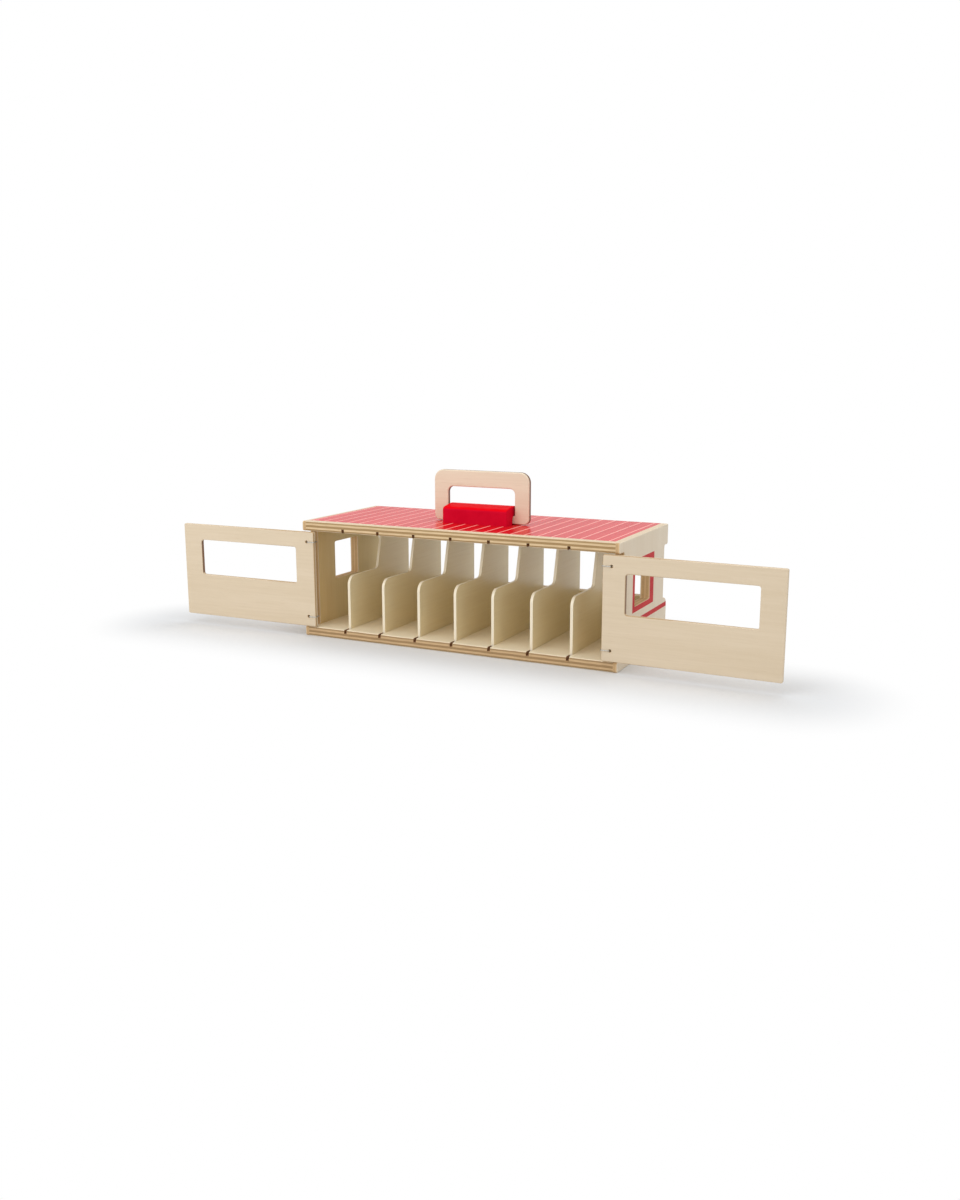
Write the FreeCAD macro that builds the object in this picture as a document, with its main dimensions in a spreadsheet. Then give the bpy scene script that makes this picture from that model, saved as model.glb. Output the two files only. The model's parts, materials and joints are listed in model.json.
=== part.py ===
import FreeCAD, Part
import math
import os
import re
import Sketcher

# Take-along toy stable: a plywood box with eight open stalls, two swinging doors and a folding handle.
# Millimetres. +X is to the right, +Y to the back, +Z up. The origin is under the middle of the base.

SIZES = [
    ("length", 360, "overall length across the end walls"),
    ("depth", 150.5, "overall depth of roof, base and end walls"),
    ("height", 126, "base underside to roof top"),
    ("roof_thickness", 10.5, "roof panel"),
    ("base_thickness", 10.5, "base panel"),
    ("edge_round", 2, "rounding of the panels' front and rear edges"),
    ("end_thickness", 10, "end wall"),
    ("lap_lip", 4.4, "part of the end wall that shows beside the ends of roof and base"),
    ("front_recess", 14.2, "end wall's front edge behind the roof's front edge"),
    ("rear_recess", 11.2, "end wall's rear edge in front of the roof's rear edge"),
    ("rear_tab_top", 47.5, "top of the end wall's lower rear tab"),
    ("rear_tab_drop", 11, "reach of the end wall's upper rear tab below the roof"),
    ("tab_round", 7, "rounded shoulder of the lower rear tab"),
    ("notch_round", 2.5, "inner corners of the end wall's notches"),
    ("ease", 1, "eased outer rim of the end walls"),
    ("window_width", 47, "end wall window"),
    ("window_height", 42, "end wall window"),
    ("window_sill", 56, "end wall window's lower edge above the base underside"),
    ("window_shift", 5.5, "end wall window's centre in front of the wall's centre"),
    ("window_round", 2, "window corners"),
    ("stall_count", 8, "stalls side by side"),
    ("divider_thickness", 3, "stall divider"),
    ("dado_depth", 4, "grooves in roof and base"),
    ("dado_clearance", 0.1, "room on each side of a divider in its groove"),
    ("divider_setback", 9.45, "divider's front edge behind the base's front edge"),
    ("low_top", 68, "top of a divider's low front part above the base underside"),
    ("low_run", 57.15, "length of a divider's low front part"),
    ("post_lean", 12.4, "lean of a divider's tall part, low top to roof"),
    ("nose_round", 10, "front top corner of a divider"),
    ("crook_round", 5, "inner corner of a divider"),
    ("back_inset", 4.8, "back wall in front of the base's rear edge"),
    ("back_thickness", 10.5, "back wall and back top rail"),
    ("back_top", 49, "top of the back wall above the base underside"),
    ("back_round", 1.5, "rounded upper edges of the back wall"),
    ("rail_height", 11, "back top rail"),
    ("door_thickness", 4.5, "door"),
    ("door_end_gap", 6.3, "closed door's hinge edge in from the end of the box"),
    ("door_meeting_gap", 1, "gap between the closed doors"),
    ("door_clearance", 0.8, "gap above and below a door"),
    ("door_setback", 4.65, "closed door's outer face behind the roof's front edge"),
    ("door_open_angle", 178.7, "doors as they stand, from closed"),
    ("door_stile", 23.2, "door window in from each side edge"),
    ("door_top_rail", 17.2, "door window below the top edge"),
    ("door_window_height", 39.5, "door window"),
    ("door_round", 1.5, "door corners"),
    ("door_window_round", 2.5, "door window corners"),
    ("door_ease", 0.8, "eased rims of a door"),
    ("wire_diameter", 1, "hinge wire"),
    ("wire_bend", 1.2, "bends of the hinge wire, at its middle"),
    ("wire_clearance", 0.05, "room round a wire in its hole or eye"),
    ("wire_gap", 0.2, "room between a door and the wire round its edge"),
    ("hinge_inset", 4.65, "hinge axis in from a door's hinge edge"),
    ("hinge_standoff", 1.6, "hinge axis in front of a closed door's outer face"),
    ("hinge_spread", 10.8, "hinges in from a door's top and bottom edges"),
    ("door_hole", 2.6, "wire hole through a door"),
    ("door_hole_inset", 9, "wire hole in from a door's hinge edge"),
    ("staple_gap", 4.6, "staple's legs apart"),
    ("staple_depth", 10, "staple's legs in the end wall"),
    ("staple_inset", 3, "staple's legs in from the end wall's outer face"),
    ("handle_play", 1.6, "room between the handle's side bars and the ends of its block"),
    ("handle_height", 54, "handle ring"),
    ("handle_thickness", 5.5, "handle ring"),
    ("handle_grip", 17.4, "handle's top bar"),
    ("handle_stile", 16.5, "handle's side bars"),
    ("handle_bar", 8.4, "handle's lower bar"),
    ("handle_shoulder", 10.5, "handle's upper corners"),
    ("handle_foot", 6, "handle's lower corners"),
    ("handle_window_round", 6, "upper corners of the handle's window"),
    ("handle_inner_round", 1.5, "lower corners of the handle's window"),
    ("handle_ease", 1.3, "rounded rims of the handle"),
    ("handle_lift", 0.6, "room under the handle"),
    ("handle_shift", 3, "handle and its block in front of the roof's centre line"),
    ("groove_clearance", 0.3, "room round the turning bar in the block"),
    ("block_length", 75, "handle block"),
    ("block_depth", 38, "handle block"),
    ("block_front", 16.8, "height of the block's front and rear faces, up to the corner under their rounding"),
    ("block_ridge", 19.7, "height of the block's ridge"),
    ("block_ridge_round", 24, "rounded ridge"),
    ("block_round", 4, "rounded long upper edges of the block"),
    ("block_end_round", 1.5, "rounded rims of the block's ends"),
    ("screw_spacing", 44, "block screws apart, along the block"),
    ("screw_length", 18, "block screw"),
    ("screw_diameter", 3, "block screw"),
    ("screw_head", 6, "block screw's countersunk head"),
    ("screw_clearance", 0.1, "room round a screw in the roof and the block"),
    ("screw_tip", 3, "pointed end of a block screw"),
]

doc = FreeCAD.newDocument("toy_stable")
sheet = doc.addObject("Spreadsheet::Sheet", "Sizes")
for row, (alias, value, note) in enumerate(SIZES, start=1):
    sheet.set(f"A{row}", note)
    sheet.set(f"B{row}", str(value))
    sheet.setAlias(f"B{row}", alias)
doc.recompute()

ALIASES = {alias for alias, _, _ in SIZES}
SIDES = [("left", -1), ("right", 1)]
TOLERANCE = 1e-4

# Places that several pieces share, worked out from the driving sizes.
FRONT = "-depth / 2"
REAR = "depth / 2"
FLOOR = "base_thickness"
CEILING = "(height - roof_thickness)"
PANEL_END = "(length / 2 - lap_lip)"
WALL_INNER = "(length / 2 - end_thickness)"
WALL_FRONT = "(-depth / 2 + front_recess)"
WALL_REAR = "(depth / 2 - rear_recess)"
STALL_PITCH = "((length - 2 * end_thickness + divider_thickness) / stall_count)"
DIVIDER_FRONT = "(-depth / 2 + divider_setback)"
BACK_FRONT = "(depth / 2 - back_inset - back_thickness)"
AXIS_X = "(length / 2 - door_end_gap - hinge_inset)"
AXIS_Y = "(-depth / 2 + door_setback - hinge_standoff)"
DOOR_BOTTOM = "(base_thickness + door_clearance)"
DOOR_HEIGHT = "(height - roof_thickness - base_thickness - 2 * door_clearance)"
DOOR_WIDTH = "(length / 2 - door_end_gap - door_meeting_gap / 2)"
HINGE_HEIGHTS = [("upper", f"({DOOR_HEIGHT} - hinge_spread)"), ("lower", "hinge_spread")]
HANDLE_INNER = "(block_length / 2 + handle_play)"
HANDLE_AXIS = "(height + handle_lift + handle_bar / 2)"
SCREW_Y = "(block_depth / 4 + handle_bar / 4)"
SCREW_PLACES = [(x, y) for x in ("-screw_spacing / 2", "screw_spacing / 2") for y in (f"-{SCREW_Y}", SCREW_Y)]
HANDLE_Y = "-handle_shift"


def full(expression):
    """The expression with each size named by its sheet."""
    return re.sub(r"[a-z]\w*", lambda word: f"Sizes.{word[0]}" if word[0] in ALIASES else word[0], expression)


def size(expression):
    """The value of an expression in the driving sizes."""
    return float(sheet.evalExpression(expression))


def bind(item, name, expression):
    """Tie one property of a document object to the driving sizes."""
    item.setExpression(name, full(expression))


def place(item, x="0", y="0", z="0", turn=None):
    """Put a piece at its place in the stable, turned about +Z where turn is given."""
    if turn is not None:
        item.Placement = FreeCAD.Placement(FreeCAD.Vector(), FreeCAD.Rotation(FreeCAD.Vector(0, 0, 1), size(turn)))
        bind(item, "Placement.Rotation.Angle", turn)
    for axis, expression in zip("xyz", (x, y, z)):
        bind(item, f"Placement.Base.{axis}", expression)


def new_body(label):
    body = doc.addObject("PartDesign::Body", label)
    body.Label = label
    return body


def new_sketch(body, role, offset="0"):
    """An empty sketch on one of the body's own planes, moved along the plane's normal."""
    plane = next(item for item in body.Origin.OriginFeatures if item.Role == role)
    sketch = body.newObject("Sketcher::SketchObject", f"{body.Name}_sketch")
    sketch.AttachmentSupport = [(plane, "")]
    sketch.MapMode = "FlatFace"
    bind(sketch, "AttachmentOffset.Base.z", offset)
    return sketch


def fix_point(sketch, geometry, position, x, y):
    """Dimension one point of a sketch from the origin."""
    for kind, expression in (("DistanceX", x), ("DistanceY", y)):
        constraint = Sketcher.Constraint(kind, -1, 1, geometry, position, size(expression))
        index = sketch.addConstraint(constraint)
        bind(sketch, f"Constraints[{index}]", expression)


def add_outline(sketch, corners):
    """A closed outline through dimensioned corners."""
    points = [FreeCAD.Vector(size(x), size(y), 0) for x, y in corners]
    first = sketch.GeometryCount
    count = len(points)
    for index in range(count):
        sketch.addGeometry(Part.LineSegment(points[index], points[(index + 1) % count]))
    joins = [
        Sketcher.Constraint("Coincident", first + index, 2, first + (index + 1) % count, 1)
        for index in range(count)
    ]
    sketch.addConstraint(joins)
    for index, (x, y) in enumerate(corners):
        fix_point(sketch, first + index, 1, x, y)


def add_rectangle(sketch, low, high):
    (x0, y0), (x1, y1) = low, high
    add_outline(sketch, [(x0, y0), (x1, y0), (x1, y1), (x0, y1)])


def add_circle(sketch, x, y, radius):
    centre = FreeCAD.Vector(size(x), size(y), 0)
    circle = sketch.addGeometry(Part.Circle(centre, FreeCAD.Vector(0, 0, 1), size(radius)))
    fix_point(sketch, circle, 3, x, y)
    index = sketch.addConstraint(Sketcher.Constraint("Radius", circle, size(radius)))
    bind(sketch, f"Constraints[{index}]", radius)


def pad(body, sketch, length, reverse=False):
    feature = body.newObject("PartDesign::Pad", f"{body.Name}_pad")
    feature.Profile = sketch
    feature.Reversed = reverse
    bind(feature, "Length", length)
    doc.recompute()


def pocket(body, sketch, length, reverse=False):
    """Cut a sketch into the body, and make sure that it took something away."""
    before = body.Shape.Volume
    feature = body.newObject("PartDesign::Pocket", f"{body.Name}_pocket")
    feature.Profile = sketch
    feature.Reversed = reverse
    bind(feature, "Length", length)
    doc.recompute()
    if body.Shape.Volume > before - TOLERANCE:
        raise RuntimeError(f"{feature.Name} cut nothing")
    return feature


def dress_edges(body, kind, sizing, amount, chosen):
    """A fillet or chamfer on the edges of the body that chosen picks."""
    base = body.Tip
    edges = [f"Edge{index}" for index, edge in enumerate(base.Shape.Edges, start=1) if chosen(edge)]
    if not edges:
        raise RuntimeError(f"no edges to dress on {body.Name}")
    feature = body.newObject(kind, f"{body.Name}_dressed")
    feature.Base = (base, edges)
    bind(feature, sizing, amount)
    doc.recompute()


def round_edges(body, radius, chosen):
    dress_edges(body, "PartDesign::Fillet", "Radius", radius, chosen)


def near(a, b):
    return abs(a - b) < TOLERANCE


def corner_edges(axis, corners):
    """Picks the straight edges along one axis that pass through the given corners."""
    others = [name for name in "xyz" if name != axis]
    places = [(size(first), size(second)) for first, second in corners]

    def chosen(edge):
        ends = [vertex.Point for vertex in edge.Vertexes]
        if len(ends) != 2 or near(getattr(ends[0], axis), getattr(ends[1], axis)):
            return False
        return any(
            all(near(getattr(end, name), value) for end in ends for name, value in zip(others, place_))
            for place_ in places
        )

    return chosen


def rim_edges(axis, *levels):
    """Picks the edges that lie in a plane square to one axis."""
    values = [size(level) for level in levels]

    def chosen(edge):
        box = edge.BoundBox
        low = getattr(box, f"{axis.upper()}Min")
        high = getattr(box, f"{axis.upper()}Max")
        return any(near(low, value) and near(high, value) for value in values)

    return chosen


def hole_rim(radius, axis, level):
    """Picks the round rims of one radius that lie in a plane square to an axis."""
    bore = size(radius)
    in_plane = rim_edges(axis, level)

    def chosen(edge):
        return isinstance(edge.Curve, Part.Circle) and near(edge.Curve.Radius, bore) and in_plane(edge)

    return chosen


def make_panel(label, thickness, up):
    """Roof or base: rounded front and rear edges, and a groove for each divider across the inner face."""
    body = new_body(label)
    outer = f"{up} * {thickness}"
    profile = new_sketch(body, "YZ_Plane", f"-{PANEL_END}")
    add_rectangle(profile, (FRONT, "0"), (REAR, outer))
    pad(body, profile, f"2 * {PANEL_END}")
    corners = [(y, z) for y in (FRONT, REAR) for z in ("0", outer)]
    round_edges(body, "edge_round", corner_edges("x", corners))

    first = f"-(stall_count / 2 - 1) * {STALL_PITCH}"
    half = "(divider_thickness / 2 + dado_clearance)"
    groove = new_sketch(body, "XY_Plane")
    add_rectangle(groove, (f"{first} - {half}", FRONT), (f"{first} + {half}", REAR))
    cut = pocket(body, groove, "dado_depth", reverse=up > 0)
    before = body.Shape.Volume
    pattern = body.newObject("PartDesign::LinearPattern", f"{label}_grooves")
    pattern.Originals = [cut]
    pattern.Direction = (groove, ["H_Axis"])
    bind(pattern, "Length", f"(stall_count - 2) * {STALL_PITCH}")
    bind(pattern, "Occurrences", "stall_count - 1")
    body.Tip = pattern
    doc.recompute()
    if body.Shape.Volume > before - TOLERANCE:
        raise RuntimeError(f"{pattern.Name} cut nothing")
    return body


def make_base():
    body = make_panel("base_panel", "base_thickness", -1)
    place(body, z=FLOOR)


def make_roof():
    """The roof also has countersunk holes for the screws of the handle block."""
    body = make_panel("roof_panel", "roof_thickness", 1)
    radius = "(screw_diameter / 2 + screw_clearance)"
    holes = new_sketch(body, "XY_Plane")
    for x, y in SCREW_PLACES:
        add_circle(holes, x, f"{y} - handle_shift", radius)
    pocket(body, holes, "roof_thickness", reverse=True)
    sink = f"screw_head / 2 - {radius} + screw_clearance"
    dress_edges(body, "PartDesign::Chamfer", "Size", sink, hole_rim(radius, "z", "0"))
    place(body, z=CEILING)


def make_end_wall(side_name, side):
    """Notched end wall, lapped over the ends of roof and base, with a window and holes for the staples."""
    body = new_body(f"{side_name}_end_wall")
    tab_bottom = f"{CEILING} - rear_tab_drop"
    outward = side < 0
    outline = new_sketch(body, "YZ_Plane")
    add_outline(outline, [
        (FRONT, "0"),
        (REAR, "0"),
        (REAR, "rear_tab_top"),
        (WALL_REAR, "rear_tab_top"),
        (WALL_REAR, tab_bottom),
        (REAR, tab_bottom),
        (REAR, "height"),
        (FRONT, "height"),
        (FRONT, CEILING),
        (WALL_FRONT, CEILING),
        (WALL_FRONT, FLOOR),
        (FRONT, FLOOR),
    ])
    pad(body, outline, "end_thickness", reverse=outward)
    round_edges(body, "tab_round", corner_edges("x", [(REAR, "rear_tab_top")]))
    notches = [(WALL_REAR, "rear_tab_top"), (WALL_REAR, tab_bottom), (WALL_FRONT, CEILING), (WALL_FRONT, FLOOR)]
    round_edges(body, "notch_round", corner_edges("x", notches))
    tips = [(y, z) for y in (FRONT, REAR) for z in ("0", "height")]
    tips += [(FRONT, FLOOR), (FRONT, CEILING), (REAR, tab_bottom)]
    round_edges(body, "edge_round", corner_edges("x", tips))
    round_edges(body, "ease", rim_edges("x", f"{side} * end_thickness"))

    laps = new_sketch(body, "YZ_Plane")
    add_rectangle(laps, (FRONT, "0"), (REAR, FLOOR))
    add_rectangle(laps, (FRONT, CEILING), (REAR, "height"))
    pocket(body, laps, "end_thickness - lap_lip", reverse=not outward)

    near_side = "-window_shift - window_width / 2"
    far_side = "-window_shift + window_width / 2"
    head = "window_sill + window_height"
    window = new_sketch(body, "YZ_Plane")
    add_rectangle(window, (near_side, "window_sill"), (far_side, head))
    pocket(body, window, "end_thickness", reverse=not outward)
    corners = [(y, z) for y in (near_side, far_side) for z in ("window_sill", head)]
    round_edges(body, "window_round", corner_edges("x", corners))

    holes = new_sketch(body, "XZ_Plane", f"-{WALL_FRONT}")
    for _, hinge in HINGE_HEIGHTS:
        for step in ("-", "+"):
            height = f"{DOOR_BOTTOM} + {hinge} {step} staple_gap / 2"
            leg = f"{side} * (end_thickness - staple_inset)"
            add_circle(holes, leg, height, "wire_diameter / 2 + wire_clearance")
    pocket(body, holes, "staple_depth + wire_clearance")
    place(body, x=f"{side} * {WALL_INNER}")


def make_divider(number):
    """Low round-nosed front, and a tall back part whose front edge leans up to the roof."""
    body = new_body(f"divider_{number}")
    foot = f"({DIVIDER_FRONT} + low_run)"
    bottom = f"{FLOOR} - dado_depth"
    top = f"{CEILING} + dado_depth"
    lean_top = f"{foot} + post_lean * (dado_depth + {CEILING} - low_top) / ({CEILING} - low_top)"
    outline = new_sketch(body, "YZ_Plane")
    add_outline(outline, [
        (DIVIDER_FRONT, bottom),
        (BACK_FRONT, bottom),
        (BACK_FRONT, top),
        (lean_top, top),
        (foot, "low_top"),
        (DIVIDER_FRONT, "low_top"),
    ])
    pad(body, outline, "divider_thickness")
    round_edges(body, "nose_round", corner_edges("x", [(DIVIDER_FRONT, "low_top")]))
    round_edges(body, "crook_round", corner_edges("x", [(foot, "low_top")]))
    place(body, x=f"({number} - stall_count / 2) * {STALL_PITCH} - divider_thickness / 2")


def make_back_piece(label, height, bottom, rounded):
    """A board between the end walls at the back, with rounded long edges on its free side."""
    body = new_body(label)
    outline = new_sketch(body, "YZ_Plane", f"-{WALL_INNER}")
    add_rectangle(outline, ("0", "0"), ("back_thickness", height))
    pad(body, outline, f"2 * {WALL_INNER}")
    corners = [(y, rounded) for y in ("0", "back_thickness")]
    round_edges(body, "back_round", corner_edges("x", corners))
    place(body, y=BACK_FRONT, z=bottom)


def make_door(side_name, side):
    """Door with a wide window. Its own frame has the hinge axis as its Z axis, and its outer face to the back."""
    body = new_body(f"{side_name}_door")
    hinge_edge = f"{side} * -hinge_inset"
    free_edge = f"{side} * ({DOOR_WIDTH} - hinge_inset)"
    board = new_sketch(body, "XZ_Plane", "hinge_standoff")
    add_rectangle(board, (hinge_edge, "0"), (free_edge, DOOR_HEIGHT))
    pad(body, board, "door_thickness")
    corners = [(x, z) for x in (hinge_edge, free_edge) for z in ("0", DOOR_HEIGHT)]
    round_edges(body, "door_round", corner_edges("y", corners))

    sides = [f"{side} * (door_stile - hinge_inset)", f"{side} * ({DOOR_WIDTH} - door_stile - hinge_inset)"]
    head = f"{DOOR_HEIGHT} - door_top_rail"
    sill = f"{head} - door_window_height"
    window = new_sketch(body, "XZ_Plane", "hinge_standoff")
    add_rectangle(window, (sides[0], sill), (sides[1], head))
    pocket(body, window, "door_thickness", reverse=True)
    corners = [(x, z) for x in sides for z in (sill, head)]
    round_edges(body, "door_window_round", corner_edges("y", corners))
    round_edges(body, "door_ease", rim_edges("y", "-hinge_standoff", "-hinge_standoff - door_thickness"))

    holes = new_sketch(body, "XZ_Plane", "hinge_standoff")
    bore = "door_hole / 2"
    for _, hinge in HINGE_HEIGHTS:
        add_circle(holes, f"{side} * (door_hole_inset - hinge_inset)", hinge, bore)
    pocket(body, holes, "door_thickness", reverse=True)
    inner_face = "-hinge_standoff - door_thickness"
    round_edges(body, "wire_bend - wire_diameter / 2", hole_rim(bore, "y", inner_face))
    place(body, x=f"{side} * {AXIS_X}", y=AXIS_Y, z=DOOR_BOTTOM, turn=f"{-side} * (180 - door_open_angle)")


def bent_wire(points, bend, radius):
    """A round wire along straight runs joined by tangent bends."""
    edges = []
    start = points[0]
    for before, corner, after in zip(points, points[1:], points[2:]):
        back = (before - corner).normalize()
        onward = (after - corner).normalize()
        half = back.getAngle(onward) / 2
        reach = bend / math.tan(half)
        middle = corner + (back + onward).normalize() * (bend / math.sin(half) - bend)
        entry = corner + back * reach
        leave = corner + onward * reach
        edges.append(Part.LineSegment(start, entry).toShape())
        edges.append(Part.Arc(entry, middle, leave).toShape())
        start = leave
    edges.append(Part.LineSegment(start, points[-1]).toShape())
    section = Part.Wire(Part.Circle(points[0], points[1] - points[0], radius).toShape())
    return Part.Wire(edges).makePipeShell([section], True, False)


def make_staple(side_name, side, height_name, hinge):
    """Fixed half of a hinge: two legs out of the wall's front edge, and an upright crown on the hinge axis."""
    leg_x = side * (size(f"length / 2 - staple_inset - {AXIS_X}"))
    leg_y = size(f"{WALL_FRONT} + staple_depth - {AXIS_Y}")
    half = size("staple_gap / 2")
    points = [
        FreeCAD.Vector(leg_x, leg_y, half),
        FreeCAD.Vector(leg_x, 0, half),
        FreeCAD.Vector(0, 0, half),
        FreeCAD.Vector(0, 0, -half),
        FreeCAD.Vector(leg_x, 0, -half),
        FreeCAD.Vector(leg_x, leg_y, -half),
    ]
    label = f"{side_name}_{height_name}_hinge_staple"
    staple = doc.addObject("Part::Feature", label)
    staple.Label = label
    staple.Shape = bent_wire(points, size("wire_bend"), size("wire_diameter / 2"))
    place(staple, x=f"{side} * {AXIS_X}", y=AXIS_Y, z=f"{DOOR_BOTTOM} + {hinge}")


def make_hinge_eye(side_name, side, height_name, hinge):
    """Moving half of a hinge: an eye round the staple's crown, and a wire round the door's edge to its hole."""
    radius = size("wire_diameter / 2")
    ring = size("wire_diameter + wire_clearance")
    past_edge = -side * size("hinge_inset + wire_gap + wire_diameter / 2")
    inner_face = -size("hinge_standoff + door_thickness")
    along_face = inner_face - radius - size("wire_clearance")
    hole = side * size("door_hole_inset - door_hole / 2 + wire_diameter / 2 + wire_clearance - hinge_inset")
    end = inner_face + size("door_thickness") - radius
    shank = bent_wire(
        [
            FreeCAD.Vector(-side * ring, 0, 0),
            FreeCAD.Vector(past_edge, 0, 0),
            FreeCAD.Vector(past_edge, along_face, 0),
            FreeCAD.Vector(hole, along_face, 0),
            FreeCAD.Vector(hole, end, 0),
        ],
        size("wire_bend"),
        radius,
    )
    eye = Part.makeTorus(ring, radius, FreeCAD.Vector(), FreeCAD.Vector(0, 0, 1))
    label = f"{side_name}_{height_name}_hinge_eye"
    wire = doc.addObject("Part::Feature", label)
    wire.Label = label
    wire.Shape = eye.fuse(shank).removeSplitter().Solids[0]
    turn = f"{-side} * (180 - door_open_angle)"
    place(wire, x=f"{side} * {AXIS_X}", y=AXIS_Y, z=f"{DOOR_BOTTOM} + {hinge}", turn=turn)


def make_handle():
    """Rounded ring that stands on its lower bar. Its own frame has the bar's axis as its X axis."""
    body = new_body("carry_handle")
    inner = HANDLE_INNER
    outer = f"({HANDLE_INNER} + handle_stile)"
    bottom = "-handle_bar / 2"
    top = "(handle_height - handle_bar / 2)"
    head = f"{top} - handle_grip"
    ring = new_sketch(body, "XZ_Plane", "-handle_thickness / 2")
    add_rectangle(ring, (f"-{outer}", bottom), (outer, top))
    add_rectangle(ring, (f"-{inner}", "handle_bar / 2"), (inner, head))
    pad(body, ring, "handle_thickness")
    for radius, half, level in (
        ("handle_shoulder", outer, top),
        ("handle_foot", outer, bottom),
        ("handle_window_round", inner, head),
        ("handle_inner_round", inner, "handle_bar / 2"),
    ):
        round_edges(body, radius, corner_edges("y", [(f"-{half}", level), (half, level)]))
    round_edges(body, "handle_ease", rim_edges("y", "-handle_thickness / 2", "handle_thickness / 2"))
    place(body, y=HANDLE_Y, z=HANDLE_AXIS)


def make_handle_block():
    """Ridged block through the handle's window, with a groove below that the handle's bar turns in."""
    body = new_body("handle_block")
    half = "block_depth / 2"
    groove = "(sqrt((handle_bar / 2 - handle_ease)^2 + (handle_thickness / 2 - handle_ease)^2) + handle_ease"
    groove += " + groove_clearance)"
    axis = f"({HANDLE_AXIS} - height)"
    outline = new_sketch(body, "YZ_Plane", "-block_length / 2")
    add_outline(outline, [
        (f"-{half}", "0"),
        (half, "0"),
        (half, "block_front"),
        ("0", "block_ridge"),
        (f"-{half}", "block_front"),
    ])
    pad(body, outline, "block_length")
    round_edges(body, "block_ridge_round", corner_edges("x", [("0", "block_ridge")]))
    round_edges(body, "block_round", corner_edges("x", [(f"-{half}", "block_front"), (half, "block_front")]))
    ends = rim_edges("x", "-block_length / 2", "block_length / 2")
    round_edges(body, "block_end_round", lambda edge: ends(edge) and edge.BoundBox.ZMax > TOLERANCE)

    slot = new_sketch(body, "YZ_Plane", "-block_length / 2")
    add_rectangle(slot, (f"-{groove}", "0"), (groove, axis))
    pocket(body, slot, "block_length", reverse=True)
    bore = new_sketch(body, "YZ_Plane", "-block_length / 2")
    add_circle(bore, "0", axis, groove)
    pocket(body, bore, "block_length", reverse=True)

    pilots = new_sketch(body, "XY_Plane")
    for x, y in SCREW_PLACES:
        add_circle(pilots, x, y, "screw_diameter / 2 + screw_clearance")
    pocket(body, pilots, "screw_length - roof_thickness + screw_clearance", reverse=True)
    place(body, y=HANDLE_Y, z="height")


def make_screws():
    """Countersunk screws up through the roof into the handle block, as one group."""
    screws = []
    head_height = "(screw_head - screw_diameter) / 2"
    for number, (x, y) in enumerate(SCREW_PLACES, start=1):
        head = doc.addObject("Part::Cone", f"screw_head_{number}")
        bind(head, "Radius1", "screw_head / 2")
        bind(head, "Radius2", "screw_diameter / 2")
        bind(head, "Height", head_height)
        shank = doc.addObject("Part::Cylinder", f"screw_shank_{number}")
        bind(shank, "Radius", "screw_diameter / 2")
        bind(shank, "Height", "screw_length - screw_tip")
        tip = doc.addObject("Part::Cone", f"screw_tip_{number}")
        bind(tip, "Radius1", "screw_diameter / 2")
        bind(tip, "Radius2", "screw_diameter / 8")
        bind(tip, "Height", "screw_tip")
        place(tip, z="screw_length - screw_tip")
        screw = doc.addObject("Part::MultiFuse", f"screw_{number}")
        screw.Shapes = [head, shank, tip]
        place(screw, x, f"{y} - handle_shift", CEILING)
        screws.append(screw)
    group = doc.addObject("Part::Compound", "handle_block_screws")
    group.Label = "handle_block_screws"
    group.Links = screws


make_base()
make_roof()
for side_name, side in SIDES:
    make_end_wall(side_name, side)
for number in range(1, int(size("stall_count"))):
    make_divider(number)
make_back_piece("back_wall", "back_top - base_thickness", FLOOR, "back_top - base_thickness")
make_back_piece("back_top_rail", "rail_height", f"{CEILING} - rail_height", "0")
for side_name, side in SIDES:
    make_door(side_name, side)
    for height_name, hinge in HINGE_HEIGHTS:
        make_staple(side_name, side, height_name, hinge)
        make_hinge_eye(side_name, side, height_name, hinge)
make_handle()
make_handle_block()
make_screws()
doc.recompute()

failed = [item.Name for item in doc.Objects if {"Invalid", "Error"} & set(item.State)]
if failed:
    raise RuntimeError(f"not built: {failed}")
pieces = [item for item in doc.Objects if item.isDerivedFrom("PartDesign::Body") or item.TypeId == "Part::Feature"]
pieces.append(doc.getObject("handle_block_screws"))
for piece in pieces:
    if piece.Shape.isNull() or not piece.Shape.isValid():
        raise RuntimeError(f"{piece.Label} is not a sound solid")
os.makedirs("parts", exist_ok=True)
for piece in pieces:
    piece.Shape.exportStep(f"parts/{piece.Label}.step")
    print(piece.Label, len(piece.Shape.Solids), round(piece.Shape.Volume, 1))
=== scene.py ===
import json
import math

import bpy
from mathutils import Matrix, Vector


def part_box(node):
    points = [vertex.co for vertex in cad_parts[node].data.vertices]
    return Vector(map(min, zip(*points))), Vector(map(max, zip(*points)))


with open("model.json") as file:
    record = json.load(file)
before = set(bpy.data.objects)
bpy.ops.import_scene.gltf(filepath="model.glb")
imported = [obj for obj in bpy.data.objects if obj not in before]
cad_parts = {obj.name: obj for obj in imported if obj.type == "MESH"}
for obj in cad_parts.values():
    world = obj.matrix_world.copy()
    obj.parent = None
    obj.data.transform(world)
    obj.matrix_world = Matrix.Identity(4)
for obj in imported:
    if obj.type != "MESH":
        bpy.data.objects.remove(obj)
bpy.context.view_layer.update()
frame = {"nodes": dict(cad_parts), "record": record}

nodes = frame["nodes"]
openings = {item["name"]: item["box_m"] for item in frame["record"]["physics"]["openings"]}
MM = 0.001
X, Y, Z = range(3)
DIVIDERS = [name for name in nodes if name.startswith("divider_")]

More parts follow.
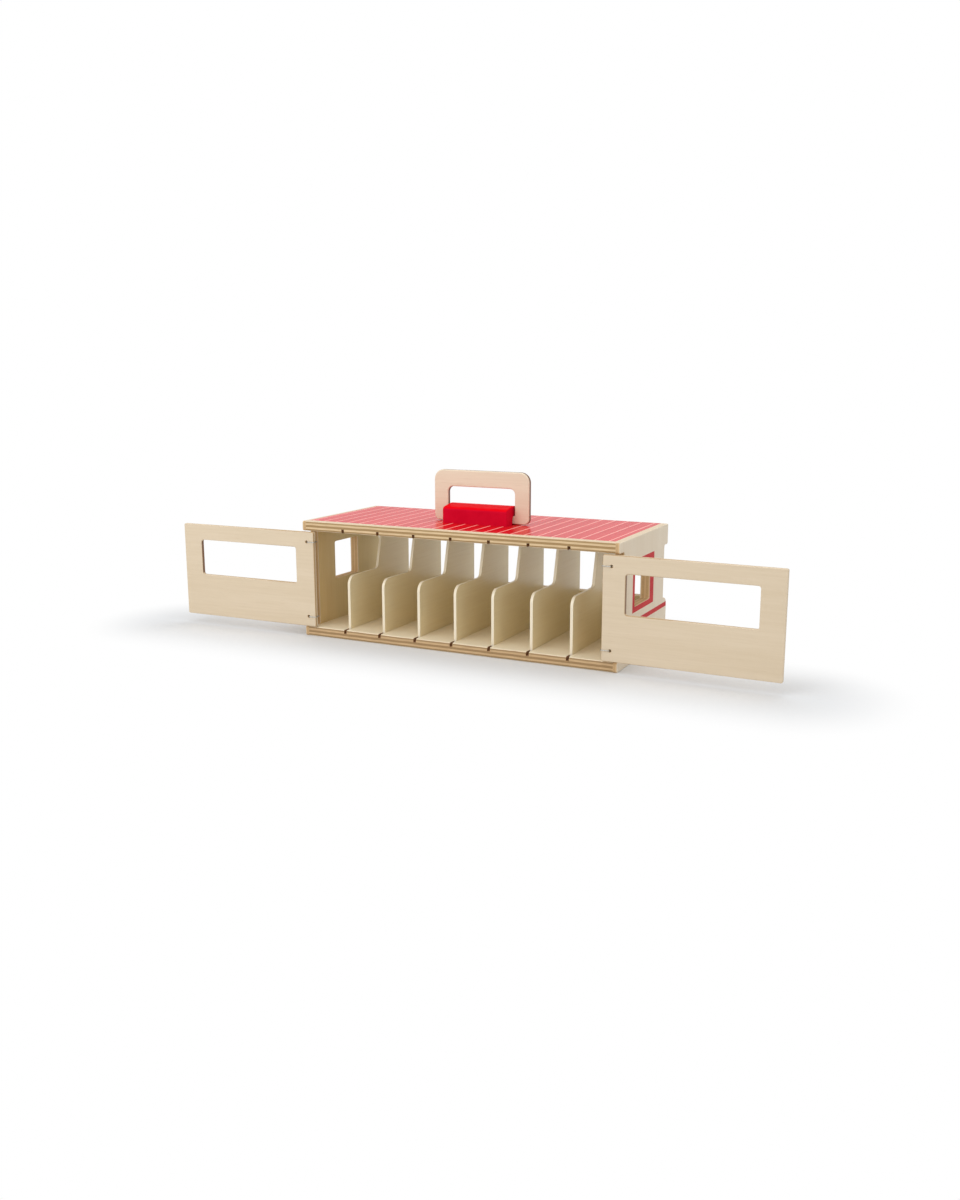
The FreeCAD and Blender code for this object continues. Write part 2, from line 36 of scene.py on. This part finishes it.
# Paint: the bare borders round the roof's red field, the place and pitch of its pale lines,
# the widths of the red frame round an end wall's window, the band under it, and how far
# under the roof's top the red runs out on the rounded rims.
ROOF_BORDER = {"left": 0.3 * MM, "right": 3.0 * MM, "front": 8.0 * MM, "rear": 2.2 * MM}
FIRST_LINE = 3.6 * MM
PLANK_PITCH = 14.7 * MM
PLANK_LINE = 1.8 * MM
FRAME_WIDTH = {"front": 6.5 * MM, "rear": 12.3 * MM, "below": 5.8 * MM, "above": 5.7 * MM}
BAND = (38.1 * MM, 43.0 * MM)
PAINT_RUNS_OUT = (1.2 * MM, 1.0 * MM)

# Forms that the materials follow: the dividers' slots, the rounded rims, and how far round
# the opening of a door's window lie its upright sides, darkened with painted shade.
SLOT_DEPTH = 2.5 * MM
ROUNDED_RIM = 2.0 * MM
REVEAL_REACH = 2.0 * MM

# Varnish as the weight of a clear coat, on the wood and on the dividers, and its roughness.
COAT, DIVIDER_COAT = 0.12, 0.5
COAT_ROUGHNESS = 0.30

# The base and the roof have thin skins over plies that start with cross grain.
PANEL_LAYUP = {"plies": 5, "grain": X, "glue": 0.35, "skin": 0.35, "first": 1}

# The camera stands where the photograph's did, with 36 mm on the long side of a 960 by 1200 image.
CAMERA_PLACE = (0.53124, -1.07016, 0.28886)
CAMERA_YAW, CAMERA_PITCH, CAMERA_ROLL = 26.58, 11.70, -0.11
CAMERA_LENS, CAMERA_SENSOR = 33.956, 36.0

# Light from all round, and lamps as name, place, target, width in metres and power in watts.
AMBIENT = 0.64
LAMPS = (
    ("key", (-0.55, -1.3, 0.75), (0.0, 0.0, 0.08), 1.2, 5.4),
    ("top", (0.15, 0.35, 1.5), (0.05, 0.0, 0.1), 0.9, 4.2),
    ("front_top", (0.0, -0.5, 1.5), (0.0, 0.0, 0.1), 0.9, 4.2),
    ("fill", (1.8, -0.2, 0.7), (0.1, 0.0, 0.08), 1.2, 2.9),
)
FLOOR_SIZE = 6.0
FLOOR_GREY = (0.79, 0.80, 0.812, 1.0)
FLOOR_FADE = (0.02, 0.12)


def colour(red, green, blue):
    """A colour given in 0 to 255 display values, as a linear one."""
    def linear(value):
        value /= 255
        return value / 12.92 if value <= 0.04045 else ((value + 0.055) / 1.055) ** 2.4
    return (linear(red), linear(green), linear(blue), 1.0)


# Veneer and paint as light and deep tones, and edges as long-grain and cross-grain plies.
CREAM = (colour(227, 208, 180), colour(220, 200, 170))
PALE_CREAM = (colour(233, 220, 199), colour(227, 212, 189))
PINK_CREAM = (colour(238, 222, 196), colour(231, 213, 186))
# Painted light: a paler, yellower wood for the stalls, standing in for warm light bounced round inside
# them.
STALL_WARM_LIGHT = (colour(238, 222, 182), colour(233, 215, 173))
# Painted shade: a darker golden wood for the front of the end walls' inner faces.
FRONT_SHADE_TONES = (colour(214, 186, 134), colour(206, 176, 122))
FLOORING = (colour(245, 231, 202), colour(240, 224, 193))
PANEL_PLIES = (colour(232, 204, 162), colour(174, 142, 100))
BASE_PLIES = (colour(216, 182, 136), colour(166, 132, 88))
WALL_PLIES = (colour(222, 190, 146), colour(208, 174, 130))
DOOR_PLIES = (colour(214, 188, 150), colour(190, 160, 118))
# A darker cut edge and painted shade, for the upright sides of a door's window.
REVEAL_SHADE = colour(128, 92, 62)
HANDLE_PLIES = (colour(150, 106, 70), colour(92, 58, 36))
DIVIDER_PLIES = (colour(250, 239, 215), colour(247, 234, 207))
GLUE = colour(118, 84, 48)
FLECK = colour(186, 156, 116)
# Painted shade: dark brown inside the dividers' slots, where shade falls in the recess.
SLOT_SHADE = colour(146, 104, 68)
ROOF_RED = (colour(214, 22, 30), colour(202, 14, 24))
ROOF_LINE = colour(255, 172, 162)
BLOCK_RED = (colour(218, 18, 52), colour(208, 12, 46))
# Painted light: the block's upward slopes, brighter as though lit from above.
BLOCK_TOP_LIT_RED = colour(234, 8, 24)
TRIM_RED = (colour(200, 64, 66), colour(190, 54, 58))
STEEL = (colour(206, 204, 198), colour(150, 146, 138))


class Material:
    """A node material, with short calls for the nodes that its patterns are made of."""

    def __init__(self, name):
        self.data = bpy.data.materials.new(name)
        self.data.use_nodes = True
        self.tree = self.data.node_tree
        self.tree.nodes.clear()
        self.output = self.node("ShaderNodeOutputMaterial")
        self.shader = self.node("ShaderNodeBsdfPrincipled")
        self.put(self.output.inputs["Surface"], self.shader.outputs[0])
        coordinates = self.node("ShaderNodeTexCoord")
        self.place = coordinates.outputs["Object"]
        self.axes = self.split(self.place)
        self.normal = self.split(coordinates.outputs["Normal"])

    def node(self, kind, **settings):
        made = self.tree.nodes.new(kind)
        for name, value in settings.items():
            setattr(made, name, value)
        return made

    def put(self, socket, value):
        if isinstance(value, bpy.types.NodeSocket):
            self.tree.links.new(value, socket)
        else:
            socket.default_value = value

    def split(self, vector):
        node = self.node("ShaderNodeSeparateXYZ")
        self.put(node.inputs[0], vector)
        return node.outputs[0], node.outputs[1], node.outputs[2]

    def math(self, operation, *values):
        node = self.node("ShaderNodeMath", operation=operation)
        for socket, value in zip(node.inputs, values):
            self.put(socket, value)
        return node.outputs[0]

    def vector(self, operation, *values):
        node = self.node("ShaderNodeVectorMath", operation=operation)
        for socket, value in zip(node.inputs, values):
            self.put(socket, value)
        return node.outputs["Value" if operation == "LENGTH" else "Vector"]

    def ramp(self, value, low, high, start=0.0, end=1.0):
        """Runs smoothly from start to end while value runs from low to high."""
        node = self.node("ShaderNodeMapRange", interpolation_type="SMOOTHSTEP")
        for socket, item in zip(node.inputs, (value, low, high, start, end)):
            self.put(socket, item)
        return node.outputs[0]

    def mix(self, share, first, second):
        node = self.node("ShaderNodeMix", data_type="RGBA")
        sockets = (node.inputs[0], node.inputs[6], node.inputs[7])
        for socket, item in zip(sockets, (share, first, second)):
            self.put(socket, item)
        return node.outputs[2]

    def noise(self, scales, detail=2.0, shift=0.0):
        """Noise with its own fineness, in features per metre, along each axis."""
        node = self.node("ShaderNodeTexNoise")
        scaled = self.vector("MULTIPLY_ADD", self.place, scales, (shift, shift, shift))
        self.put(node.inputs["Vector"], scaled)
        self.put(node.inputs["Scale"], 1.0)
        self.put(node.inputs["Detail"], detail)
        return node.outputs[0]

    def wander(self, fineness, reach):
        """A small uneven shift, up to reach either way, that makes painted edges less than straight."""
        noise = self.noise((fineness, fineness, fineness), 1.0)
        return self.math("MULTIPLY_ADD", noise, 2 * reach, -reach)

    def inside(self, value, low, high, soft=0.15 * MM):
        """1 where value is between low and high, 0 outside."""
        rise = self.ramp(value, low - soft, low + soft)
        fall = self.ramp(value, high - soft, high + soft, 1.0, 0.0)
        return self.math("MULTIPLY", rise, fall)

    def facing(self, axis, side):
        """1 where the surface looks along an axis, to its positive or negative side."""
        return self.ramp(self.math("MULTIPLY", self.normal[axis], side), 0.85, 0.97)

    def every(self, first, *others):
        for other in others:
            first = self.math("MULTIPLY", first, other)
        return first

    def finish(self, base, roughness, height=None, depth=0.1 * MM, strength=0.5, **constants):
        self.put(self.shader.inputs["Base Color"], base)
        self.put(self.shader.inputs["Roughness"], roughness)
        for name, value in constants.items():
            self.put(self.shader.inputs[name.replace("_", " ")], value)
        if height is not None:
            bump = self.node("ShaderNodeBump")
            self.put(bump.inputs["Strength"], strength)
            self.put(bump.inputs["Distance"], depth)
            self.put(bump.inputs["Height"], height)
            self.put(self.shader.inputs["Normal"], bump.outputs[0])
        return self.data


def along(axis, fine, coarse):
    """Fineness for fibres that run along one axis."""
    return tuple(coarse if index == axis else fine for index in range(3))


def veneer(m, tones, grain, shift):
    """Face colour and fibre relief: broad soft figure, fine fibres and a few short flecks."""
    broad = m.noise(along(grain, 26.0, 3.0), 3.0, shift)
    fibres = m.noise(along(grain, 520.0, 14.0), 3.0, shift + 7.0)
    figure = m.math("ADD", m.math("MULTIPLY", broad, 0.6), m.math("MULTIPLY", fibres, 0.4))
    face = m.mix(m.ramp(figure, 0.34, 0.66), *tones)
    pores = m.noise(along(grain, 1500.0, 55.0), 1.0, shift + 3.0)
    return m.mix(m.ramp(pores, 0.66, 0.80, 0.0, 0.22), face, FLECK), fibres


def plywood(m, axis, low, high, plies, grain, tones=CREAM, edges=PANEL_PLIES,
            glue=0.6, skin=0.94, first=0, shift=0.0):
    """Colour, roughness and relief of varnished plywood, laid up along an axis between low and high.

    Its faces show veneer and its edges show plies, with skin as the share of the outer ply
    that keeps the face's colour, so that rounded rims look like the face. The outer ply
    shows long grain where first is 0 and cross grain where it is 1.
    """
    face, fibres = veneer(m, tones, grain, shift)
    wobble = m.noise((60.0, 60.0, 60.0), 2.0, shift + 11.0)
    depth = m.math("MULTIPLY_ADD", m.axes[axis], plies / (high - low), -low * plies / (high - low))
    depth = m.math("ADD", depth, m.math("MULTIPLY_ADD", wobble, 0.24, -0.12))
    cross = m.math("PINGPONG", m.math("ADD", m.math("FLOOR", depth), first), 1.0)
    speckle = m.noise((1300.0, 1300.0, 1300.0), 2.0, shift + 5.0)
    streak = m.noise(along(axis, 70.0, 1800.0), 2.0, shift + 2.0)
    long_grain = m.mix(m.ramp(streak, 0.35, 0.75, 0.0, 0.45), *edges)
    cross_grain = m.mix(m.ramp(speckle, 0.40, 0.75, 0.0, 0.5 * glue), edges[1], GLUE)
    ply = m.mix(cross, long_grain, cross_grain)
    joint = m.math("ABSOLUTE", m.math("SUBTRACT", depth, m.math("ROUND", depth)))
    ply = m.mix(m.ramp(joint, 0.02, 0.09, glue, 0.0), ply, GLUE)
    from_middle = m.math("ABSOLUTE", m.math("SUBTRACT", depth, plies / 2))
    ply = m.mix(m.ramp(from_middle, plies / 2 - skin - 0.04, plies / 2 - skin + 0.04), ply, face)

    edge = m.ramp(m.math("ABSOLUTE", m.normal[axis]), 0.85, 0.97, 1.0, 0.0)
    base = m.mix(edge, face, ply)
    roughness = m.math("MULTIPLY_ADD", fibres, 0.16, 0.38)
    roughness = m.math("MULTIPLY_ADD", edge, 0.14, roughness)
    sunk = m.math("MULTIPLY", m.math("MULTIPLY", edge, cross), -0.8)
    height = m.math("MULTIPLY_ADD", fibres, 0.5, sunk)
    return base, roughness, height


def slot_shade_mask(m, side, face):
    """1 in the slots sawn across a panel's face, which looks up or down as side is 1 or -1."""
    walls = m.math("MAXIMUM", m.facing(X, 1), m.facing(X, -1))
    sunk = m.math("MULTIPLY", m.math("SUBTRACT", face, m.axes[Z]), side)
    bottom = m.every(m.facing(Z, side), m.ramp(sunk, SLOT_DEPTH - 0.5 * MM, SLOT_DEPTH))
    stalls_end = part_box("right_end_wall")[0][X]
    within = m.inside(m.axes[X], -stalls_end, stalls_end)
    return m.every(m.math("MAXIMUM", walls, bottom), within)


def varnished(m, base, roughness, height, coat=COAT):
    """Finishes a material with a clear coat."""
    return m.finish(base, roughness, height, Coat_Weight=coat, Coat_Roughness=COAT_ROUGHNESS)


def wood_material(name, coat=COAT, **pattern):
    m = Material(name)
    return varnished(m, *plywood(m, **pattern), coat)


def base_material(low, high):
    """Plywood with the slots for the dividers in its upper face painted dark brown, as painted shade in
    the recesses.
    """
    m = Material("base_panel")
    pattern = {"tones": FLOORING, "edges": BASE_PLIES, "shift": 1.0, **PANEL_LAYUP}
    base, roughness, height = plywood(m, Z, low[Z], high[Z], **pattern)
    base = m.mix(slot_shade_mask(m, 1, high[Z]), base, SLOT_SHADE)
    return varnished(m, base, roughness, height)


def roof_material(low, high):
    """Plywood with a red field on top, ruled with pale lines from front to back, and a bare border."""
    m = Material("roof_red_planks")
    base, roughness, height = plywood(m, Z, low[Z], high[Z], shift=4.0, **PANEL_LAYUP)
    # Painted shade: the slots on the underside turn dark brown.
    base = m.mix(slot_shade_mask(m, -1, low[Z]), base, SLOT_SHADE)
    wander = m.wander(400.0, 0.2 * MM)
    across = m.math("ADD", m.axes[X], wander)
    back = m.math("ADD", m.axes[Y], wander)
    field = m.every(
        m.inside(across, low[X] + ROOF_BORDER["left"], high[X] - ROOF_BORDER["right"]),
        m.inside(back, low[Y] + ROOF_BORDER["front"], high[Y] - ROOF_BORDER["rear"]),
        m.ramp(m.axes[Z], *(high[Z] - depth for depth in PAINT_RUNS_OUT)),
    )
    past_first = m.math("SUBTRACT", across, low[X] + FIRST_LINE)
    from_line = m.math("PINGPONG", past_first, PLANK_PITCH / 2)
    line = m.ramp(from_line, PLANK_LINE / 2 - 0.2 * MM, PLANK_LINE / 2 + 0.2 * MM, 1.0, 0.0)
    brush = m.noise((220.0, 6.0, 60.0), 3.0, 9.0)
    paint = m.mix(m.ramp(brush, 0.35, 0.70), *ROOF_RED)
    paint = m.mix(m.math("MULTIPLY", line, 0.9), paint, ROOF_LINE)
    base = m.mix(field, base, paint)
    gloss = m.math("MULTIPLY_ADD", line, 0.10, m.math("MULTIPLY_ADD", brush, 0.06, 0.22))
    smoother = m.math("MULTIPLY", field, m.math("SUBTRACT", roughness, gloss))
    level = m.math("SUBTRACT", roughness, smoother)
    groove = m.math("MULTIPLY", m.math("MULTIPLY", line, field), -1.0)
    bare = m.math("MULTIPLY_ADD", field, -0.27, 0.3)
    relief = m.math("MULTIPLY_ADD", height, bare, groove)
    return m.finish(base, level, relief, strength=0.4, Specular_IOR_Level=0.06)


def end_wall_material(name, side, low, high):
    """Plywood with a red window frame and a red band outside; inside, painted light and shade: a paler,
    yellower stall tone, darker and golden towards the front.
    """
    m = Material(name)
    shift = 2.0 + side
    pattern = {"tones": PALE_CREAM, "edges": WALL_PLIES, "glue": 0.3, "skin": 0.3, "shift": shift}
    base, roughness, height = plywood(m, X, low[X], high[X], 5, Z, **pattern)
    face, _ = veneer(m, PALE_CREAM, Y, shift)
    crown = m.every(m.facing(Z, 1), m.ramp(m.axes[Z], high[Z] - ROUNDED_RIM, high[Z] - ROUNDED_RIM / 2))
    base = m.mix(m.math("MULTIPLY", crown, 0.8), base, face)
    # Painted light: the inner face takes the paler, yellower stall tone for the warm light bounced
    # inside.
    inner_light_and_shade, _ = veneer(m, STALL_WARM_LIGHT, Z, shift + 1.0)
    # Painted shade: the inner face is darker and golden at the front, fading to the stall tone by the
    # middle.
    front_shade, _ = veneer(m, FRONT_SHADE_TONES, Z, shift + 1.0)
    inner_light_and_shade = m.mix(m.ramp(m.axes[Y], low[Y], (low[Y] + high[Y]) / 2), front_shade, inner_light_and_shade)
    base = m.mix(m.facing(X, -side), base, inner_light_and_shade)

    wander = m.wander(350.0, 0.25 * MM)
    across = m.math("ADD", m.axes[Y], wander)
    up = m.math("ADD", m.axes[Z], wander)
    window_low, window_high = openings[name.replace("wall", "window")]
    window_frame = m.every(
        m.inside(across, window_low[Y] - FRAME_WIDTH["front"], window_high[Y] + FRAME_WIDTH["rear"]),
        m.inside(up, window_low[Z] - FRAME_WIDTH["below"], window_high[Z] + FRAME_WIDTH["above"]),
    )
    trim = m.every(m.math("MAXIMUM", window_frame, m.inside(up, *BAND)), m.facing(X, side))
    brush = m.noise((300.0, 9.0, 120.0), 2.0, 5.0)
    base = m.mix(trim, base, m.mix(m.ramp(brush, 0.35, 0.70), *TRIM_RED))
    return m.finish(base, roughness, height, Specular_IOR_Level=0.03)


def door_material(name, shift, low, high):
    """Thin plywood with the upright sides of its window dark brown: a darker cut edge, and painted
    shade, as these sides lie in shade while the top and bottom catch the light.
    """
    m = Material(name)
    pattern = {"plies": 3, "grain": X, "edges": DOOR_PLIES, "glue": 0.2, "shift": shift}
    base, roughness, height = plywood(m, Y, low[Y], high[Y], **pattern)
    window_low, window_high = openings[name + "_window"]
    # Painted shade over a darker cut edge: the window's upright sides turn dark brown.
    shaded_upright = m.math("MAXIMUM", m.facing(X, 1), m.facing(X, -1))
    near = m.inside(m.axes[X], window_low[X] - REVEAL_REACH, window_high[X] + REVEAL_REACH)
    base = m.mix(m.every(shaded_upright, near), base, REVEAL_SHADE)
    return varnished(m, base, roughness, height)


def block_material():
    """Red paint, a little uneven, with painted light on the upward slopes, a warmer, brighter red as
    though lit from above, and a faint orange peel.
    """
    m = Material("block_red")
    cloud = m.noise((70.0, 70.0, 70.0), 3.0)
    base = m.mix(m.ramp(cloud, 0.30, 0.72), *BLOCK_RED)
    # Painted light: surfaces that look up turn a brighter, warmer red, as though lit from above.
    base = m.mix(m.ramp(m.normal[Z], 0.2, 0.7), base, BLOCK_TOP_LIT_RED)
    peel = m.noise((900.0, 900.0, 900.0), 2.0, 3.0)
    roughness = m.math("MULTIPLY_ADD", cloud, 0.10, 0.28)
    return m.finish(base, roughness, peel, depth=0.05 * MM, strength=0.3, Specular_IOR_Level=0.005)


def steel_material():
    """Drawn steel with fine scratches."""
    m = Material("hinge_steel")
    scratches = m.noise((1600.0, 1600.0, 300.0), 3.0)
    base = m.mix(m.ramp(scratches, 0.30, 0.75), *STEEL)
    roughness = m.math("MULTIPLY_ADD", scratches, 0.22, 0.20)
    return m.finish(base, roughness, scratches, depth=0.03 * MM, strength=0.4, Metallic=1.0)


def dress(names, material):
    for name in names:
        slots = nodes[name].data.materials
        slots.clear()
        slots.append(material)


def dress_plain(name, axis, shift, **pattern):
    """Plywood with no paint, laid up along an axis of the node's box."""
    low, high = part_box(name)
    pattern.update(axis=axis, low=low[axis], high=high[axis], shift=shift)
    dress([name], wood_material(name, **pattern))


def dress_wood():
    dress(["base_panel"], base_material(*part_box("base_panel")))
    dress(["roof_panel"], roof_material(*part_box("roof_panel")))
    for name, side in (("left_end_wall", -1), ("right_end_wall", 1)):
        dress([name], end_wall_material(name, side, *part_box(name)))
    # Painted light: the back pieces and the dividers take the paler, yellower stall tone.
    for number, name in enumerate(("back_wall", "back_top_rail")):
        dress_plain(name, Y, 5.0 + number, plies=5, grain=X, tones=STALL_WARM_LIGHT)
    for number, name in enumerate(DIVIDERS):
        pattern = {"tones": STALL_WARM_LIGHT, "edges": DIVIDER_PLIES, "glue": 0.1, "skin": 0.2}
        dress_plain(name, X, 11.0 + number, coat=DIVIDER_COAT, plies=3, grain=Y, **pattern)
    for number, name in enumerate(("left_door", "right_door")):
        dress([name], door_material(name, 20.0 + 3 * number, *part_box(name)))
    dress_plain("carry_handle", Y, 30.0, plies=5, grain=X, tones=PINK_CREAM, edges=HANDLE_PLIES)


def seen_as_it_is(tree):
    """1 for rays that see a surface directly, in a reflection or through glass, and 0 for others."""
    rays = tree.nodes.new("ShaderNodeLightPath")
    seen = rays.outputs["Is Camera Ray"]
    for other in ("Is Glossy Ray", "Is Transmission Ray"):
        larger = tree.nodes.new("ShaderNodeMath")
        larger.operation = "MAXIMUM"
        tree.links.new(seen, larger.inputs[0])
        tree.links.new(rays.outputs[other], larger.inputs[1])
        seen = larger.outputs[0]
    return seen


def outside(m, low, high):
    """How far a point of the floor lies outside the box between two corners, seen from above."""
    low, high = (Vector(corner).to_2d().to_3d() for corner in (low, high))
    from_centre = m.vector("ABSOLUTE", m.vector("SUBTRACT", m.place, (low + high) / 2))
    beyond = m.vector("MAXIMUM", m.vector("SUBTRACT", from_centre, (high - low) / 2), (0.0, 0.0, 0.0))
    return m.vector("LENGTH", beyond)


def build_floor():
    """A wide pale floor that keeps the shadow, and fades to white away from the box and the doors."""
    mesh = bpy.data.meshes.new("studio_floor")
    corners = [(x * FLOOR_SIZE, y * FLOOR_SIZE, 0.0) for x, y in ((-1, -1), (1, -1), (1, 1), (-1, 1))]
    mesh.from_pydata(corners, [], [range(4)])
    floor = bpy.data.objects.new("studio_floor", mesh)
    bpy.context.scene.collection.objects.link(floor)
    m = Material("studio_floor")
    mesh.materials.append(m.finish(FLOOR_GREY, 0.9, Specular_IOR_Level=0.0))

    from_doors = outside(m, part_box("left_door")[0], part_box("right_door")[1])
    away = m.math("MINIMUM", outside(m, *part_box("base_panel")), from_doors)
    far = m.ramp(away, *FLOOR_FADE)
    white = m.node("ShaderNodeEmission")
    blend = m.node("ShaderNodeMixShader")
    m.put(blend.inputs[0], m.math("MULTIPLY", far, seen_as_it_is(m.tree)))
    m.put(blend.inputs[1], m.shader.outputs[0])
    m.put(blend.inputs[2], white.outputs[0])
    m.put(m.output.inputs["Surface"], blend.outputs[0])


def build_world():
    """White where it is seen, and softer as light."""
    world = bpy.data.worlds.new("studio")
    bpy.context.scene.world = world
    world.use_nodes = True
    tree = world.node_tree
    background = tree.nodes["Background"]
    background.inputs["Color"].default_value = (1.0, 1.0, 1.0, 1.0)
    level = tree.nodes.new("ShaderNodeMapRange")
    level.inputs["To Min"].default_value = AMBIENT
    level.inputs["To Max"].default_value = 1.0
    tree.links.new(seen_as_it_is(tree), level.inputs["Value"])
    tree.links.new(level.outputs[0], background.inputs["Strength"])


def add_softbox(name, place, target, size, power):
    lamp = bpy.data.lights.new(name, "AREA")
    lamp.shape = "DISK"
    lamp.size = size
    lamp.energy = power
    item = bpy.data.objects.new(name, lamp)
    item.location = place
    item.rotation_euler = (Vector(target) - Vector(place)).to_track_quat("-Z", "Y").to_euler()
    bpy.context.scene.collection.objects.link(item)


def build_camera():
    camera = bpy.data.cameras.new("camera")
    camera.sensor_width = CAMERA_SENSOR
    camera.lens = CAMERA_LENS
    camera.clip_start = 0.01
    item = bpy.data.objects.new("camera", camera)
    yaw = Matrix.Rotation(math.radians(CAMERA_YAW), 4, "Z")
    pitch = Matrix.Rotation(math.radians(90 - CAMERA_PITCH), 4, "X")
    roll = Matrix.Rotation(math.radians(CAMERA_ROLL), 4, "Z")
    item.matrix_world = Matrix.Translation(CAMERA_PLACE) @ yaw @ pitch @ roll
    bpy.context.scene.collection.objects.link(item)
    bpy.context.scene.camera = item


dress_wood()
dress(["handle_block"], block_material())
dress([name for name in nodes if "hinge" in name or "screws" in name], steel_material())

build_floor()
build_world()
for settings in LAMPS:
    add_softbox(*settings)
build_camera()
bpy.context.scene.view_settings.view_transform = "Standard"
